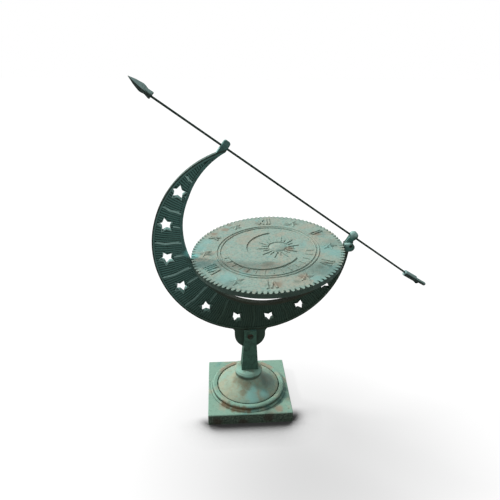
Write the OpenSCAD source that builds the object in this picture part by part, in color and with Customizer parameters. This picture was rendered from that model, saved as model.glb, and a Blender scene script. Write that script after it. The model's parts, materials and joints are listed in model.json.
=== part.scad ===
// Crescent sundial. A notched round dial is hung on two pins inside a pierced crescent, and
// an arrow through the two horn ends is the gnomon. The crescent turns on a screw in the fork
// of a tapered post, which stands on a bell-shaped casting and a square foot plate.
// Frame: +Z up, the viewer at -Y, the origin in the middle of the foot plate's underside.
// The crescent, the arrow and the post share the plane Y = 0. Millimetres and degrees.

/* [Foot plate] */
// Side of the square plate
foot_side = 115; // [113:1:140]
// Height of the square plate
foot_height = 15.8; // [13:0.2:20]
// Turn of the foot on the stem, as the screw left it
foot_turn = -1.8; // [-4:0.1:4]
// Radius of the plate's upright corners
foot_corner = 1.6; // [0.5:0.1:6]
// Bevel along the plate's upper edges
foot_bevel = 0.8; // [0.3:0.1:2]
// Thickness of the plate's outer wall, beside the hollow underneath
foot_wall = 6; // [4:0.5:10]
// Thickness of the plate's top, above the hollow
foot_top = 5; // [3.5:0.5:8]
// Radius of the moulded ring where it rises from the plate
ring_foot_r = 54.2; // [53.5:0.1:56]
// Radius of the ring's top outer edge
ring_top_r = 52; // [51:0.1:53]
// Radius of the ring's inner wall, round the bell
ring_inner_r = 44.6; // [43:0.1:46]
// Height of the ring above the plate
ring_height = 7; // [4:0.2:9]

/* [Bell] */
// Open groove between the ring and the bell
bell_groove = 1.2; // [0.6:0.1:2]
// Height of the whole bell above the plate
bell_height = 35.4; // [30:0.2:45]
// Height of the bell's upright foot, behind the ring
bell_foot_h = 6; // [3:0.2:8]
// Radius of the neck below the collar
bell_neck_r = 16.8; // [15:0.2:18]
// Radius of the collar under the post
collar_r = 19.5; // [18.4:0.1:21]
// Thickness of the collar at its edge
collar_t = 3; // [2:0.1:5]
// Rise of the collar's domed top
collar_dome = 3; // [2:0.2:5]
// How far the flank of the bell sinks below a straight line
bell_sag = 4; // [0:0.2:6]
// Thickness of the bell's cast wall
bell_wall = 5; // [3.5:0.5:8]

/* [Post] */
// Length of the post above the bell
post_length = 64.3; // [58:0.1:90]
// Width of the post at its foot
post_bottom_w = 23.4; // [19:0.2:26]
// Width of the post just below its head
post_neck_w = 17; // [13:0.2:18]
// Width of the post's head, round the pivot
post_head_w = 16.6; // [14:0.2:20]
// Height of the post's head
post_head_h = 15.5; // [14:0.5:22]
// How far the post stands to the right of the middle of the plate
post_offset = 1.4; // [0:0.1:2]
// Thickness of each tine of the fork
tine_t = 4.5; // [3.5:0.1:7]
// Space between a tine and the crescent's rims, on each side
fork_clear = 0.3; // [0.2:0.05:0.6]
// Distance of the pivot below the post's top
pivot_below_top = 8.8; // [8:0.1:14]
// Room between the lug and the bottom of the fork
fork_room = 1.5; // [1:0.1:4]
// Diameter of the round tenon under the post
tenon_d = 13; // [10:0.5:16]
// Length of the tenon
tenon_length = 11; // [8:0.5:14]

/* [Fasteners] */
// Diameter of the foot screw's shank
screw_d = 6; // [4:0.5:8]
// Diameter of the pivot screw's shank
pivot_d = 5; // [4:0.5:6]
// Diameter of the foot screw's head
foot_screw_head_d = 11; // [9:0.5:14]
// Height of the foot screw's head
foot_screw_head_h = 4; // [2:0.2:5]
// Diameter of the foot screw's washer
foot_washer_d = 18; // [14:0.5:20]
// Thickness of both washers
washer_t = 1.2; // [0.8:0.1:2]
// How far the foot screw reaches into the post
foot_screw_grip = 16; // [12:1:24]
// Diameter of the pivot screw's countersunk head
pivot_head_d = 8.6; // [7.5:0.2:11]
// Width across the flats of the pivot nut
nut_flats = 8; // [8:0.5:13]
// Height of the pivot nut
nut_h = 4.2; // [4:0.2:7]
// Diameter of the pivot washer
pivot_washer_d = 11; // [10:0.5:15]
// Width of the slots in the screw heads
slot_w = 1.2; // [0.8:0.1:2]
// Depth of the slots in the screw heads
slot_deep = 1.2; // [0.8:0.1:2]
// Radial room round a shaft that turns or slides in its bore
running_fit = 0.05; // [0.02:0.01:0.1]

/* [Crescent] */
// Radius of the crescent's outer edge
crescent_r = 125; // [115:1:140]
// Width of the crescent at its widest place, opposite the mouth
crescent_deep = 48.5; // [46.3:0.1:56]
// Distance from the crescent's centre to the centre of the mouth
mouth_offset = 29.3; // [26:0.1:32]
// Direction of the mouth's centre, seen from the front, from +X towards +Z
mouth_angle = 49.1; // [45:0.1:58]
// Direction in which the two horns point, square to the arrow
horn_angle = 55.6; // [50:0.1:65]
// Width that the wider cut, which narrows the upper horn towards its end, would leave there
tip_deep = 62.3; // [58.8:0.1:70]
// How far that cut's centre lies from the crescent's centre, towards the horns
tip_shift = 35.8; // [30:0.2:38]
// How far it lies towards the upper horn
tip_side = 5.8; // [3:0.2:7]
// How far the crescent leans to the right of upright
crescent_lean = 0.8; // [-5:0.1:5]
// Distance from the crescent's outer edge to the pivot below it
lug_beyond = 8.4; // [7.5:0.1:10]
// Radius of the lug round the pivot
lug_r = 21; // [18:0.5:22]
// Radius of the fillets between the lug and the rim
lug_fillet = 8; // [4:0.5:9]
// Radius of the raised pads round the pivot bore
pad_r = 8; // [6:0.5:10]
// Thickness of the sunk web and of the lug
web_t = 5.5; // [4:0.1:6.5]
// Thickness of the crescent over its raised rims
rim_t = 8; // [7:0.1:10]
// Width of the raised rims
rim_w = 3.5; // [2.5:0.1:4.5]
// Least width of the lower horn, close to its end
neck_w = 7.5; // [6:0.1:9]

/* [Stars and ridges] */
// Number of pierced stars
star_count = 9; // [5:1:9]
// Angle between two stars
star_pitch = 22.4; // [20:0.1:24]
// Distance of the stars' centres from the outer edge, opposite the mouth
star_inset = 18.9; // [16.5:0.1:22]
// Distance of that circle's centre from the crescent's centre
star_circle_offset = 7.5; // [6:0.1:9]
// Radius of a star's points
star_tip_r = 9.2; // [5:0.1:9.6]
// Radius of a star's inner corners
star_waist_r = 5.1; // [2:0.1:5.5]
// Width of the raised border round each star
star_border = 0.9; // [0.6:0.1:1.6]
// Width of the ridges between the stars
ridge_w = 1.8; // [1:0.1:3]
// How far the middle of a ridge is bent out of line
ridge_bend = 2; // [0:0.1:4]

/* [Arrow] */
// Clear distance from the bearing block to the arrow's line
arrow_clear = 6; // [5.2:0.1:9.2]
// How far the upper horn end lies outside the crescent's outer edge, along the arrow
upper_horn_out = 4; // [2.6:0.1:4.6]
// How far the lower horn end lies outside the crescent's outer edge, along the arrow
lower_horn_out = 5.9; // [4.6:0.1:6.6]
// Diameter of the arrow's rod
rod_d = 2.6; // [2.4:0.1:3.4]
// Length of the arrow from the point to the tail's end
arrow_length = 460; // [420:1:500]
// Distance of the arrow's point from the middle between the horns
arrow_point = 226; // [215:0.1:240]
// Length of the arrow head
head_length = 31; // [28:0.5:40]
// Greatest width of the arrow head
head_w = 9.6; // [8.6:0.1:12]
// Diameter of the arrow head's socket at its open end
head_socket_d = 9.2; // [8:0.1:11]
// Angle by which the head is bent out of the rod's line, away from the dial
head_bend = 6; // [0:0.2:7]
// Length of the whole tail
tail_length = 38; // [34:0.5:50]
// Length of the wide part of the tail
tail_socket_length = 20; // [16:0.5:24]
// Diameter of the wide part of the tail
tail_socket_d = 8; // [7.2:0.1:10]
// Diameter of the narrow end of the tail
tail_end_d = 5; // [4.6:0.1:7]
// Angle by which the tail is bent out of the rod's line, away from the dial
tail_bend = 4; // [0:0.2:5]
// Depth to which the rod enters the head and the tail
socket_depth = 9; // [7:0.5:10]
// Width of a horn's end, along the arrow
finger_w = 8.3; // [7:0.1:10]
// Thickness of a horn's end
finger_t = 9; // [8:0.1:12]
// How far the upper horn's end reaches past the arrow
finger_reach = 8; // [5:0.1:9]
// Radius of the round knob at the lower horn's end
knob_r = 5.8; // [5:0.1:7]
// Thickness of that knob
knob_t = 7.4; // [6:0.1:10]
// How far the knob's middle lies beyond the arrow
knob_rise = 1; // [0:0.1:2]

/* [Dial] */
// Thickness of the dial
dial_t = 7.4; // [6.4:0.1:9]
// Depth of the pins below the dial's face
pin_below_top = 3; // [2.8:0.1:4]
// Rise of the pin line, to the right, before the crescent leans
dial_rise = 4.8; // [0:0.1:8]
// Distance of the pin line below the crescent's centre
pin_line_drop = 11.8; // [5:0.1:20]
// Tilt of the dial about its pins, towards the front
dial_tilt = 5.2; // [-10:0.1:10]
// Room between the dial's edge and the crescent, at each side
dial_gap = 1.4; // [1:0.1:4]
// Number of notches round the edge
notch_count = 96; // [60:4:120]
// Radial depth of the notches
notch_deep = 3.4; // [1.5:0.1:4.5]
// Height of the notched upper part of the edge
notch_h = 3.2; // [2:0.1:4]
// Step between the points of the notched edge and the plain edge below
edge_step = 1; // [0.4:0.1:2]
// Radius of the outer one of the two raised rings, as a share of the dial's
bead_share = 0.67; // [0.55:0.01:0.75]
// Distance between the two raised rings
bead_pitch = 4.2; // [3:0.1:6]
// Radius of the rings' round section
bead_r = 1.1; // [0.7:0.1:1.6]
// Diameter of the two trunnion pins
pin_d = 3; // [2:0.1:3.4]
// Depth of a pin in the dial
pin_in_dial = 10; // [6:0.5:14]
// Depth of the left pin in the crescent
pin_in_crescent = 8; // [6:0.5:9]
// Width of the plain stretch of the edge over the left pin
left_ear_w = 6; // [5:0.5:12]
// Width of the plain stretch of the edge over the right pin
right_ear_w = 12; // [8:0.5:14]
// Radius of the bearing block's round end
block_r = 5.3; // [5:0.1:7]
// How far the bearing block stands forward of the crescent's front face
block_front = 4.5; // [3:0.1:7]
// How far the middle of the bearing block lies below the pin line
block_drop = 1.6; // [0:0.1:2]
// Diameter of the clamp screw in the bearing block
clamp_d = 4; // [3:0.1:5]

/* [Hidden] */
$fn = 96;
overlap = 1;
far = 400;

verdigris = [0.60, 0.72, 0.65];
dark_verdigris = [0.20, 0.33, 0.29];
post_green = [0.18, 0.31, 0.26];
old_steel = [0.30, 0.32, 0.30];

// Heights of the stem's pieces above the floor
bell_top = foot_height + bell_height;
pivot_z = bell_top + post_length - pivot_below_top;
foot_ceiling = foot_height - foot_top;

// The fork takes the crescent's rims, and the pads fill it
fork_gap = rim_t + 2 * fork_clear;
post_deep = fork_gap + 2 * tine_t;
pad_span = fork_gap - 2 * running_fit;
pivot_head_h = (pivot_head_d - pivot_d) / 2;

// What follows the crescent's outer edge
mouth_r = crescent_r + mouth_offset - crescent_deep;
tip_r = crescent_r + tip_shift - tip_deep;
lug_reach = crescent_r + lug_beyond;
star_circle_r = crescent_r + star_circle_offset - star_inset;

// Distance along the pin line is counted from the foot of the perpendicular on the
// crescent's centre, positive to the right
mouth_along = mouth_offset * cos(mouth_angle - dial_rise);
mouth_above = mouth_offset * sin(mouth_angle - dial_rise) + pin_line_drop;
left_face = mouth_along - sqrt(pow(mouth_r, 2) - pow(mouth_above, 2));
right_face = sqrt(pow(crescent_r - neck_w, 2) - pow(pin_line_drop, 2));
block_along = sqrt(pow(crescent_r, 2) - pow(pin_line_drop, 2));
dial_along = (left_face + right_face) / 2;
dial_r = (right_face - left_face) / 2 - dial_gap;

// The fillet's centre touches both the lug and the crescent's outer edge
fillet_up = (pow(lug_reach, 2) + pow(lug_r + lug_fillet, 2)
             - pow(crescent_r + lug_fillet, 2)) / (2 * lug_reach);
fillet_out = sqrt(pow(lug_r + lug_fillet, 2) - pow(fillet_up, 2));

// The arrow passes beyond the bearing block, and the horn ends reach out to it
arrow_offset = block_along * cos(horn_angle - dial_rise)
             - pin_line_drop * sin(horn_angle - dial_rise) + block_r + arrow_clear;
horn_chord = sqrt(pow(crescent_r, 2) - pow(arrow_offset, 2));
upper_horn_at = horn_chord + upper_horn_out;
lower_horn_at = horn_chord + lower_horn_out;
field_end = arrow_offset - 18.8;
neck_start = arrow_offset - 40.8;

// Along the arrow, from the middle between the horns towards the point
head_foot = arrow_point - head_length;
tail_foot = arrow_point - arrow_length + tail_length;
upper_horn_cut = arrow_offset - 9;
lower_horn_cut = arrow_offset - 17;

// Moves a child from the crescent's own frame, centred on its outer circle, to its place
module in_crescent() {
    translate([post_offset, 0, pivot_z])
        rotate([0, crescent_lean, 0])
            translate([0, 0, lug_reach])
                children();
}

// Frame on the pin line: +X along the pins to the right
module on_pin_line() {
    rotate([0, -dial_rise, 0])
        translate([0, 0, -pin_line_drop])
            children();
}

// Frame of the dial: on its pins, +Z out of its face
module in_dial() {
    in_crescent()
        on_pin_line()
            translate([dial_along, 0, 0])
                rotate([dial_tilt, 0, 0])
                    children();
}

// Frame of the arrow inside the crescent's: +Z to the point, +X away from the crescent
module on_arrow() {
    rotate([0, -horn_angle, 0])
        translate([arrow_offset, 0, 0])
            children();
}

// Stands a flat outline up in the plane Y = 0, with the given thickness
module slab(thickness) {
    rotate([90, 0, 0])
        linear_extrude(thickness, center = true)
            children();
}

// Shaft or bore along X, from one place to another
module bar_x(from_x, to_x, d) {
    translate([from_x, 0, 0])
        rotate([0, 90, 0])
            cylinder(h = to_x - from_x, d = d);
}

// Square with round corners
module rounded_square(side, r) {
    square([side - 2 * r, side], center = true);
    square([side, side - 2 * r], center = true);
    for (x = [-1, 1], y = [-1, 1])
        translate([x, y] * (side / 2 - r))
            circle(r);
}

// Everything of an outline beyond a line that is square to the horns' direction
module beyond(distance) {
    rotate(horn_angle)
        translate([distance, -far / 2])
            square(far);
}

// Points of a five-pointed star, the first one on +X
function star_points(tip_r, waist_r) =
    [for (i = [0:9]) let (r = i % 2 == 0 ? tip_r : waist_r) r * [cos(36 * i), sin(36 * i)]];

// Places a child on the star circle, turned so that its +X points outwards
module at_star(step, along = star_circle_r) {
    rotate(horn_angle)
        translate([star_circle_offset, 0])
            rotate(180 + step * star_pitch)
                translate([along, 0])
                    children();
}

// Square foot plate, hollow underneath, with the moulded ring round the bell
module foot_plate() {
    color(verdigris)
        rotate(foot_turn)
            difference() {
                union() {
                    linear_extrude(foot_height) rounded_square(foot_side, foot_corner);
                    translate([0, 0, foot_height])
                        rotate_extrude()
                            ring_section();
                }
                for (turn = [0:90:270])
                    rotate(turn)
                        translate([foot_side / 2, 0, foot_height])
                            rotate([0, 45, 0])
                                cube([foot_bevel * sqrt(2), far, foot_bevel * sqrt(2)], center = true);
                translate([0, 0, -overlap])
                    linear_extrude(foot_ceiling + overlap)
                        rounded_square(foot_side - 2 * foot_wall, foot_corner);
                translate([0, 0, -overlap])
                    cylinder(h = foot_height + 2 * overlap, d = screw_d + 4 * running_fit);
            }
}

// Half section of the moulded ring: a low step, a round bead on it and an upright inner wall
module ring_section() {
    bead = 3.2;
    bead_x = ring_top_r - bead;
    bead_y = ring_height - bead;
    step_y = 2.2;
    polygon(concat(
        [[ring_inner_r, -overlap], [ring_foot_r, -overlap], [ring_foot_r, 0.6],
         [ring_foot_r - 0.8, step_y - 0.8], [ring_top_r - 0.3, step_y]],
        [for (a = [-15:15:90]) [bead_x + bead * cos(a), bead_y + bead * sin(a)]],
        [[ring_inner_r + 0.8, ring_height - 0.4], [ring_inner_r, ring_height - 1.2]]));
}

// Half section of the bell's outside, from its foot up to the middle of its top
function bell_outline() =
    let (
        foot_r = ring_inner_r - bell_groove,
        flank_foot = [foot_r - 1.2, bell_foot_h + 1.2],
        collar_z = bell_height - collar_dome,
        flank_top = [bell_neck_r, collar_z - collar_t - 1.5],
        steps = 12
    )
    concat(
        [[0, 0], [foot_r, 0], [foot_r, bell_foot_h], flank_foot],
        [for (i = [1:steps]) let (s = i / steps)
            flank_foot + s * (flank_top - flank_foot) - [bell_sag, bell_sag] * sin(180 * s) * s],
        [[bell_neck_r, collar_z - collar_t], [collar_r - 0.6, collar_z - collar_t],
         [collar_r, collar_z - collar_t + 0.6], [collar_r, collar_z - 0.8],
         [collar_r - 0.3, collar_z - 0.2], [collar_r - 0.8, collar_z + 0.2]],
        [for (a = [15:15:90])
            [tenon_d + (collar_r - 0.8 - tenon_d) * cos(a),
             collar_z + 0.2 + (collar_dome - 0.2) * sin(a)]],
        [[0, bell_height]]);

// Bell-shaped casting with its collar, hollow below, bored for the tenon and the screw
module bell() {
    cavity_foot = ring_inner_r - bell_groove - bell_wall;
    cavity_top = bell_height - tenon_length - bell_wall;
    color(verdigris)
        translate([0, 0, foot_height])
            difference() {
                rotate_extrude() polygon(bell_outline());
                rotate_extrude()
                    polygon([[0, -overlap], [cavity_foot, -overlap], [cavity_foot, 1],
                             [bell_neck_r, cavity_top - 4], [screw_d, cavity_top],
                             [0, cavity_top]]);
                translate([0, 0, bell_height - tenon_length - 0.5])
                    cylinder(h = tenon_length + overlap, d = tenon_d + 4 * running_fit);
                cylinder(h = bell_height, d = screw_d + 4 * running_fit);
            }
}

// Tapered post with the fork for the crescent's lug and the tenon that enters the bell
module post() {
    chamfer = 0.8;
    fork_floor = post_length - pivot_below_top - lug_r - fork_room;
    head_z = post_length - post_head_h;
    half = [post_bottom_w / 2, post_neck_w / 2, post_head_w / 2];
    color(post_green)
        translate([0, 0, bell_top])
            difference() {
                union() {
                    translate([post_offset, 0, 0])
                        slab(post_deep)
                            polygon([[-half[0], 0], [half[0], 0], [half[1], head_z],
                                     [half[2], head_z + 1], [half[2], post_length - chamfer],
                                     [half[2] - chamfer, post_length],
                                     [chamfer - half[2], post_length],
                                     [-half[2], post_length - chamfer], [-half[2], head_z + 1],
                                     [-half[1], head_z]]);
                    translate([0, 0, -tenon_length])
                        cylinder(h = tenon_length + overlap, d = tenon_d);
                }
                translate([-far / 2, -fork_gap / 2, fork_floor])
                    cube([far, fork_gap, far]);
                translate([post_offset, 0, post_length - pivot_below_top])
                    rotate([90, 0, 0]) {
                        cylinder(h = far, d = pivot_d + 2 * running_fit, center = true);
                        translate([0, 0, post_deep / 2 - pivot_head_h])
                            cylinder(h = pivot_head_h + 0.01, d1 = pivot_d + 2 * running_fit,
                                     d2 = pivot_head_d + 2 * running_fit);
                    }
                translate([0, 0, -tenon_length - overlap])
                    cylinder(h = foot_screw_grip + overlap, d = screw_d);
            }
}

// Screw that draws the post down on the bell and the plate, from underneath
module foot_screw() {
    top = bell_top - tenon_length + foot_screw_grip - 1;
    head_z = foot_ceiling - washer_t - foot_screw_head_h;
    color(old_steel)
        difference() {
            union() {
                translate([0, 0, head_z])
                    cylinder(h = foot_screw_head_h, d = foot_screw_head_d);
                translate([0, 0, head_z])
                    cylinder(h = top - head_z, d = screw_d);
            }
            translate([-far / 2, -slot_w / 2, head_z - overlap])
                cube([far, slot_w, slot_deep + overlap]);
        }
}

// Washer between the foot screw's head and the plate
module foot_washer() {
    color(old_steel)
        translate([0, 0, foot_ceiling - washer_t])
            difference() {
                cylinder(h = washer_t, d = foot_washer_d);
                translate([0, 0, -overlap])
                    cylinder(h = washer_t + 2 * overlap, d = screw_d + 4 * running_fit);
            }
}

// Frame of the pivot screw: +Z along the axis to the front, from the post's middle plane
module at_pivot() {
    translate([post_offset, 0, pivot_z])
        rotate([90, 0, 0])
            children();
}

// Countersunk screw through the fork and the lug
module pivot_screw() {
    shank = post_deep + washer_t + nut_h + 1.5;
    color(old_steel)
        at_pivot()
            difference() {
                union() {
                    translate([0, 0, post_deep / 2 - shank])
                        cylinder(h = shank, d = pivot_d);
                    translate([0, 0, post_deep / 2 - pivot_head_h])
                        cylinder(h = pivot_head_h, d1 = pivot_d, d2 = pivot_head_d);
                }
                translate([-far / 2, -slot_w / 2, post_deep / 2 - slot_deep])
                    cube([far, slot_w, slot_deep + overlap]);
            }
}

// Washer behind the fork
module pivot_washer() {
    color(old_steel)
        at_pivot()
            translate([0, 0, -post_deep / 2 - washer_t])
                difference() {
                    cylinder(h = washer_t, d = pivot_washer_d);
                    translate([0, 0, -overlap])
                        cylinder(h = washer_t + 2 * overlap, d = pivot_d + 4 * running_fit);
                }
}

// Hexagon nut that clamps the fork on the lug, with its outer corners turned off
module pivot_nut() {
    corners = nut_flats / cos(30);
    color(old_steel)
        at_pivot()
            translate([0, 0, -post_deep / 2 - washer_t - nut_h])
                difference() {
                    cylinder(h = nut_h, d = corners, $fn = 6);
                    difference() {
                        translate([0, 0, -overlap])
                            cylinder(h = corners, d = 2 * corners);
                        translate([0, 0, -0.3])
                            cylinder(h = corners / 2, d1 = nut_flats - 1.2,
                                     d2 = nut_flats - 1.2 + 1.8 * corners);
                        translate([0, 0, 1])
                            cylinder(h = corners, d = 1.5 * corners);
                    }
                    translate([0, 0, -overlap])
                        cylinder(h = nut_h + 2 * overlap, d = pivot_d);
                }
}

// Outline of the crescent: the upper horn is cut off where its end begins, and the lower
// one, which runs out to nothing, is thickened to an even neck
module crescent_outline() {
    difference() {
        circle(crescent_r);
        mouth(mouth_r);
        beyond(upper_horn_cut);
    }
    rotate(horn_angle)
        intersection() {
            difference() {
                circle(crescent_r);
                circle(crescent_r - neck_w);
            }
            translate([neck_start, -far])
                square([lower_horn_cut - neck_start, far]);
        }
}

// The mouth of the crescent, a circle with the wider cut under the upper horn
module mouth(r) {
    rotate(mouth_angle)
        translate([mouth_offset, 0])
            circle(r);
    rotate(horn_angle)
        translate([tip_shift, tip_side])
            circle(r - mouth_r + tip_r);
}

// The sunk field between the two rims
module field_outline() {
    difference() {
        circle(crescent_r - rim_w);
        mouth(mouth_r + rim_w);
        beyond(field_end);
    }
}

// Raised work in the field: bent ridges between the stars, short ones below them, borders
module relief_outline() {
    last = (star_count - 1) / 2;
    border = star_border / sin(36);
    for (step = [-last - 0.5 : 1 : last + 0.5])
        at_star(step, 0)
            polygon([[0, -ridge_w / 2], [star_circle_r, ridge_bend - ridge_w / 2],
                     [crescent_r * 1.1, -ridge_w / 2], [crescent_r * 1.1, ridge_w / 2],
                     [star_circle_r, ridge_bend + ridge_w / 2], [0, ridge_w / 2]]);
    for (step = [-last : 1 : last]) {
        at_star(step, 0)
            translate([0, -ridge_w / 2])
                square([star_circle_r - star_tip_r, ridge_w]);
        at_star(step)
            polygon(star_points(star_tip_r + border, star_waist_r + border / 2));
    }
}

// Lug round the pivot, with fillets up to the rim, in the crescent's own frame
module lug_outline() {
    translate([0, -lug_reach])
        circle(lug_r);
    for (side = [-1, 1])
        difference() {
            polygon([[0, 0], [0, -lug_reach], [side * fillet_out, fillet_up - lug_reach]]);
            translate([side * fillet_out, fillet_up - lug_reach])
                circle(lug_fillet);
        }
}

// Square upper horn end: it follows the mouth's edge below, and past the arrow it is
// bevelled in front and behind
module upper_horn_end() {
    corner = 2.2;
    root = -20;
    root_t = rim_t - 0.8;
    bevel_from = 3.2;
    intersection() {
        slab(finger_t)
            difference() {
                rotate(horn_angle)
                    translate([arrow_offset, upper_horn_at]) {
                        translate([root, -finger_w / 2])
                            square([finger_reach - corner - root, finger_w]);
                        translate([0, corner - finger_w / 2])
                            square([finger_reach, finger_w - 2 * corner]);
                        for (side = [-1, 1])
                            translate([finger_reach - corner, side * (finger_w / 2 - corner)])
                                circle(corner);
                    }
                difference() {
                    mouth(mouth_r);
                    beyond(arrow_offset - 3);
                }
            }
        on_arrow()
            linear_extrude(far)
                polygon([[root - 1, -root_t / 2], [-12, -root_t / 2], [-6, -finger_t / 2],
                         [bevel_from, -finger_t / 2], [finger_reach + 1, -finger_t / 5],
                         [finger_reach + 1, finger_t / 5], [bevel_from, finger_t / 2],
                         [-6, finger_t / 2], [-12, root_t / 2], [root - 1, root_t / 2]]);
    }
}

// Lower horn end: thin where it leaves the neck, thicker at its round knob for the arrow
module lower_horn_end() {
    root = -20.5;
    root_t = 4.4;
    bevel = 1.6;
    on_arrow()
        translate([0, 0, -lower_horn_at]) {
            intersection() {
                slab(knob_t - 0.4)
                    polygon([[knob_rise, 4.1], [-13, 4.1], [root, -1], [root, -4], [-14, -6.4],
                             [-8.6, -6.4], [-6.2, -5], [-4.6, -3.5], [knob_rise, -4.2]]);
                translate([0, 0, -far / 2])
                    linear_extrude(far)
                        polygon([[root - 1, -root_t / 2], [-8, -root_t / 2], [-2, -knob_t / 2],
                                 [knob_rise + 1, -knob_t / 2], [knob_rise + 1, knob_t / 2],
                                 [-2, knob_t / 2], [-8, root_t / 2], [root - 1, root_t / 2]]);
            }
            translate([knob_rise, 0, 0])
                rotate([90, 0, 0])
                    for (side = [-1, 1])
                        scale([1, 1, side]) {
                            cylinder(h = knob_t / 2 - bevel, r = knob_r);
                            translate([0, 0, knob_t / 2 - bevel])
                                cylinder(h = bevel, r1 = knob_r, r2 = knob_r - bevel);
                        }
        }
}

// Block in front of the right-hand neck, and behind it the sleeve for the right pin
module bearing_block() {
    sleeve_r = pin_d / 2 + 2;
    front = rim_t / 2 + block_front;
    block_t = front - 1;
    on_pin_line() {
        translate([0, block_t / 2 - front, -block_drop])
            slab(block_t) {
                translate([right_face, -block_r])
                    square([block_along - right_face, 2 * block_r]);
                translate([block_along, 0])
                    circle(block_r);
            }
        translate([0, -overlap / 2, 0])
            slab(rim_t - overlap) {
                translate([right_face + 1, -sleeve_r])
                    square([block_along - right_face - 1, 2 * sleeve_r]);
                translate([block_along, 0])
                    circle(sleeve_r);
            }
    }
}

// Pierced crescent casting with its lug, its horn ends and the bearing block
module crescent() {
    pocket = (rim_t - web_t) / 2;
    color(dark_verdigris)
        in_crescent()
            difference() {
                union() {
                    difference() {
                        slab(rim_t) crescent_outline();
                        for (side = [-1, 1])
                            translate([0, side * (rim_t - pocket + overlap) / 2, 0])
                                slab(pocket + overlap)
                                    difference() {
                                        field_outline();
                                        relief_outline();
                                    }
                    }
                    difference() {
                        slab(web_t) lug_outline();
                        slab(far) circle(crescent_r - rim_w / 2);
                    }
                    translate([0, 0, -lug_reach])
                        rotate([90, 0, 0])
                            cylinder(h = pad_span, r = pad_r, center = true);
                    upper_horn_end();
                    lower_horn_end();
                    bearing_block();
                }
                slab(far)
                    for (step = [-(star_count - 1) / 2 : 1 : (star_count - 1) / 2])
                        at_star(step)
                            polygon(star_points(star_tip_r, star_waist_r));
                translate([0, 0, -lug_reach])
                    rotate([90, 0, 0])
                        cylinder(h = far, d = pivot_d + 2 * running_fit, center = true);
                on_arrow()
                    cylinder(h = far, d = rod_d + 2 * running_fit, center = true);
                on_pin_line() {
                    bar_x(left_face - pin_in_crescent - 0.5, left_face + 5,
                          pin_d + 2 * running_fit);
                    bar_x(right_face - 5, block_along + block_r + 5, pin_d + 2 * running_fit);
                    translate([block_along, 0, 0])
                        rotate([90, 0, 0])
                            cylinder(h = far, d = clamp_d);
                }
            }
}

// Slotted screw in the front of the bearing block, which clamps the dial's right pin
module clamp_screw() {
    tip = pin_d / 2 + running_fit;
    length = rim_t / 2 + block_front - tip - 0.8;
    color(old_steel)
        in_crescent()
            on_pin_line()
                translate([block_along, 0, 0])
                    rotate([90, 0, 0])
                        difference() {
                            translate([0, 0, tip])
                                cylinder(h = length, d = clamp_d);
                            translate([-far / 2, -slot_w / 2, tip + length - slot_deep])
                                cube([far, slot_w, slot_deep + overlap]);
                        }
}

// Outline of the notched upper part of the dial's edge
function notched_edge() =
    let (pitch = 360 / notch_count)
    [for (i = [0:notch_count - 1], part = [-0.34, 0, 0.34])
        let (r = part == 0 ? dial_r - notch_deep : dial_r)
        r * [cos((i + part) * pitch), sin((i + part) * pitch)]];

// Round dial with its notched edge, plain over the pins, and its two raised rings
module dial_plate() {
    plain_h = dial_t - notch_h;
    underside = pin_below_top - dial_t;
    bead_outer = bead_share * dial_r;
    color(verdigris)
        in_dial()
            difference() {
                union() {
                    translate([0, 0, pin_below_top - notch_h])
                        linear_extrude(notch_h)
                            polygon(notched_edge());
                    translate([0, 0, underside])
                        cylinder(h = plain_h + 0.4, r = dial_r - edge_step);
                    translate([0, 0, pin_below_top])
                        rotate_extrude() {
                            translate([bead_outer, 0]) circle(bead_r, $fn = 24);
                            translate([bead_outer - bead_pitch, 0]) circle(bead_r, $fn = 24);
                        }
                    intersection() {
                        translate([0, 0, pin_below_top - notch_h])
                            cylinder(h = notch_h, r = dial_r - 0.1);
                        union() {
                            translate([-dial_r - overlap, -left_ear_w / 2, -dial_t])
                                cube([2 * notch_deep, left_ear_w, 2 * dial_t]);
                            translate([dial_r + overlap - 2 * notch_deep, -right_ear_w / 2, -dial_t])
                                cube([2 * notch_deep, right_ear_w, 2 * dial_t]);
                        }
                    }
                }
                for (side = [-1, 1])
                    scale([side, 1, 1])
                        bar_x(dial_r - pin_in_dial, dial_r + dial_gap, pin_d);
            }
}

// The two pins that the dial tilts on, pressed into its edge
module trunnion_pins() {
    inner = dial_r - pin_in_dial;
    left_outer = dial_r + dial_gap + pin_in_crescent;
    right_outer = block_along + block_r - 0.3 - dial_along;
    color(old_steel)
        in_dial() {
            bar_x(-left_outer, -inner, pin_d);
            bar_x(inner, right_outer, pin_d);
        }
}

// Straight rod of the arrow
module gnomon_rod() {
    color(dark_verdigris)
        in_crescent()
            on_arrow()
                translate([0, 0, tail_foot - socket_depth])
                    cylinder(h = head_foot - tail_foot + 2 * socket_depth, d = rod_d);
}

// Places a child at a point on the arrow's line, turned away from the dial about a point
// that lies further along
module bent(at, centre, angle) {
    in_crescent()
        on_arrow()
            translate([0, 0, at + centre])
                rotate([0, angle, 0])
                    translate([0, 0, -centre])
                        children();
}

// Outline of the arrow head's four-sided blade, from its waist to the point
function blade_outline() =
    let (
        widest = head_length * 0.42,
        waist = head_length * 0.27,
        half = head_w / 2,
        side = [[half * 0.76, waist - 1.5], [half * 0.8, waist], [half * 0.95, widest - 2],
                [half, widest], [half * 0.96, widest + 2], [half * 0.6, head_length - 8],
                [0.25, head_length]]
    )
    concat(side, [for (i = [len(side) - 1 : -1 : 0]) [-side[i][0], side[i][1]]]);

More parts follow.
